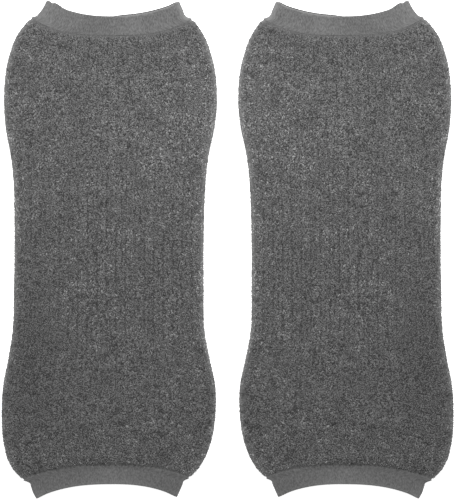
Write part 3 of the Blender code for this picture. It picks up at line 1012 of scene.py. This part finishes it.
class KneeWarmerSettings(bpy.types.PropertyGroup):
    """Sizes and colours of the pair."""

    pile_length: FloatProperty(
        name="Pile Length", description="Length of one curl of the pile",
        default=2.1 * MM, unit="LENGTH",
    )
    pile_thickness: FloatProperty(
        name="Pile Thickness", description="Thickness of one curl of the pile",
        default=0.88 * MM, unit="LENGTH",
    )
    pile_depth: FloatProperty(
        name="Pile Depth", description="How far the curls rise above the ground",
        default=0.9 * MM, unit="LENGTH",
    )
    pile_spacing: FloatProperty(
        name="Pile Spacing", description="Distance between neighbouring curls",
        default=1.24 * MM, unit="LENGTH",
    )
    rib_depth: FloatProperty(
        name="Rib Depth", description="Depth of the grooves between a cuff's ribs",
        default=0.16 * MM, unit="LENGTH",
    )
    rim_step: FloatProperty(
        name="Rim Step", description="How far the thigh cuff's back layer shows past its front layer",
        default=1.1 * MM, unit="LENGTH",
    )
    yarn_dark: FloatVectorProperty(
        name="Dark Yarn", description="Darkest yarn of the heathered pile", subtype="COLOR",
        default=(0.02, 0.02, 0.02),
    )
    yarn_light: FloatVectorProperty(
        name="Light Yarn", description="Lightest yarn of the heathered pile", subtype="COLOR",
        default=(0.30, 0.30, 0.30),
    )
    ground_grey: FloatVectorProperty(
        name="Ground", description="Lighter tone of the knitted ground", subtype="COLOR",
        default=(0.115, 0.115, 0.115),
    )
    seam_grey: FloatVectorProperty(
        name="Bare Ground", description="Tone of the ground beside the cuffs", subtype="COLOR",
        default=(0.068, 0.068, 0.068),
    )
    # Painted light: the ground round the folded edges and beside the calf seam
    painted_light_grey: FloatVectorProperty(
        name="Folded Ground", description="Tone of the ground round the folded edges", subtype="COLOR",
        default=(0.13, 0.13, 0.13),
    )
    cuff_dark: FloatVectorProperty(
        name="Cuff Streaks", description="Darker tone of the cuffs", subtype="COLOR",
        default=(0.045, 0.045, 0.045),
    )
    cuff_light: FloatVectorProperty(
        name="Cuff", description="Lighter tone of the cuffs", subtype="COLOR",
        default=(0.13, 0.13, 0.13),
    )
    key_power: FloatProperty(
        name="Key Light", description="Power of the soft light above the thigh end",
        default=22.0, unit="POWER",
    )
    table_glow: FloatProperty(
        name="Table Glow", description="How brightly the lit table shines by itself, to keep shadows off",
        default=0.8,
    )
    fill_strength: FloatProperty(
        name="Fill Light", description="Brightness of the pale surroundings", default=0.35
    )


class KNITWEAR_OT_add_sleeves(bpy.types.Operator):
    """Knit both sleeves: a ground and its pile"""

    bl_idname = "knitwear.add_sleeves"
    bl_label = "Sleeves"

    def execute(self, context):
        pile, ground = pile_material(), ground_material()
        for leg in SIDES:
            halves = [
                add_pile(leg, "calf", SLEEVE[0].along, pile),
                add_pile(leg, "thigh", SLEEVE[-1].along, pile),
            ]
            add_ground(leg, ground)
        return {"FINISHED"}


class KNITWEAR_OT_add_cuffs(bpy.types.Operator):
    """Knit the four ribbed cuffs"""

    bl_idname = "knitwear.add_cuffs"
    bl_label = "Cuffs"

    def execute(self, context):
        material = cuff_material()
        for leg in SIDES:
            add_cuff(leg, "calf", CALF_CUFF, material)
            add_cuff(leg, "thigh", THIGH_CUFF, material)
        return {"FINISHED"}


# The photograph's frame and the middle of the pair in it, in pixels, and what a pixel measures on the pair
IMAGE_WIDE, IMAGE_HIGH = 458, 500
MIRROR_LINE, HALF_WAY = 227.6, 249.6
PIXEL = 0.7045 * MM
WIDEST_AT = 3.5 * MM  # the height at which the warmers are widest
LENS, SENSOR = 200.0, 36.0  # millimetres
LAMP_PLACE, LAMP_SIZE = (0.0, 0.55, 0.9), 0.6  # in metres; it shines straight down
FLOOR_SIZE = 14.0
FLOOR_DROP = 0.15 * MM
WHITE, PAPER_WHITE, PAPER_ROUGHNESS = (1.0, 1.0, 1.0, 1.0), (0.9, 0.9, 0.9, 1.0), 0.9


class KNITWEAR_OT_add_stage(bpy.types.Operator):
    """Set up the pale table, the soft light and the camera straight above"""

    bl_idname = "knitwear.add_stage"
    bl_label = "Stage"

    def execute(self, context):
        scene, settings = context.scene, context.scene.knee_warmers
        bm = bmesh.new()
        bmesh.ops.create_grid(bm, x_segments=1, y_segments=1, size=FLOOR_SIZE / 2)
        bmesh.ops.translate(bm, verts=bm.verts[:], vec=(0, 0, -FLOOR_DROP))
        mesh = bpy.data.meshes.new("table")
        bm.to_mesh(mesh)
        bm.free()
        table = bpy.data.objects.new("table", mesh)
        scene.collection.objects.link(table)
        paper = Shader("table_white")
        paper.surface["Base Color"].default_value = PAPER_WHITE
        paper.surface["Roughness"].default_value = PAPER_ROUGHNESS
        paper.surface["Emission Color"].default_value = WHITE
        paper.surface["Emission Strength"].default_value = settings.table_glow
        mesh.materials.append(paper.material)

        world = bpy.data.worlds.new("pale_room")
        world.use_nodes = True
        room = world.node_tree.nodes["Background"]
        room.inputs["Color"].default_value = WHITE
        room.inputs["Strength"].default_value = settings.fill_strength
        scene.world = world
        lamp = bpy.data.lights.new("key_light", "AREA")
        lamp.shape, lamp.size, lamp.energy = "SQUARE", LAMP_SIZE, settings.key_power
        light = bpy.data.objects.new("key_light", lamp)
        light.location = LAMP_PLACE
        scene.collection.objects.link(light)

        data = bpy.data.cameras.new("camera")
        data.lens, data.sensor_width = LENS, SENSOR
        camera = bpy.data.objects.new("camera", data)
        distance = LENS / SENSOR * IMAGE_HIGH * PIXEL
        camera.location = (
            (IMAGE_WIDE / 2 - MIRROR_LINE) * PIXEL,
            (HALF_WAY - IMAGE_HIGH / 2) * PIXEL,
            distance + WIDEST_AT,
        )
        scene.collection.objects.link(camera)
        scene.camera = camera
        scene.view_settings.view_transform = "Standard"
        return {"FINISHED"}


class KNITWEAR_PT_panel(bpy.types.Panel):
    """The pair's sizes and colours, and what builds it"""

    bl_idname = "KNITWEAR_PT_panel"
    bl_label = "Knee Warmers"
    bl_space_type = "VIEW_3D"
    bl_region_type = "UI"
    bl_category = "Knitwear"

    def draw(self, context):
        for name in KneeWarmerSettings.__annotations__:
            self.layout.prop(context.scene.knee_warmers, name)
        for operator in (KNITWEAR_OT_add_sleeves, KNITWEAR_OT_add_cuffs, KNITWEAR_OT_add_stage):
            self.layout.operator(operator.bl_idname)


CLASSES = (
    KneeWarmerSettings,
    KNITWEAR_OT_add_sleeves,
    KNITWEAR_OT_add_cuffs,
    KNITWEAR_OT_add_stage,
    KNITWEAR_PT_panel,
)


def register():
    """Adds the classes, and the settings to the scene."""
    for cls in CLASSES:
        bpy.utils.register_class(cls)
    bpy.types.Scene.knee_warmers = PointerProperty(type=KneeWarmerSettings)


def unregister():
    """Takes them away again."""
    del bpy.types.Scene.knee_warmers
    for cls in reversed(CLASSES):
        bpy.utils.unregister_class(cls)


def main():
    """Builds the pair and its stage."""
    register()
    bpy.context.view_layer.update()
    bpy.ops.knitwear.add_sleeves()
    bpy.ops.knitwear.add_cuffs()
    bpy.ops.knitwear.add_stage()


if __name__ == "__main__":
    main()
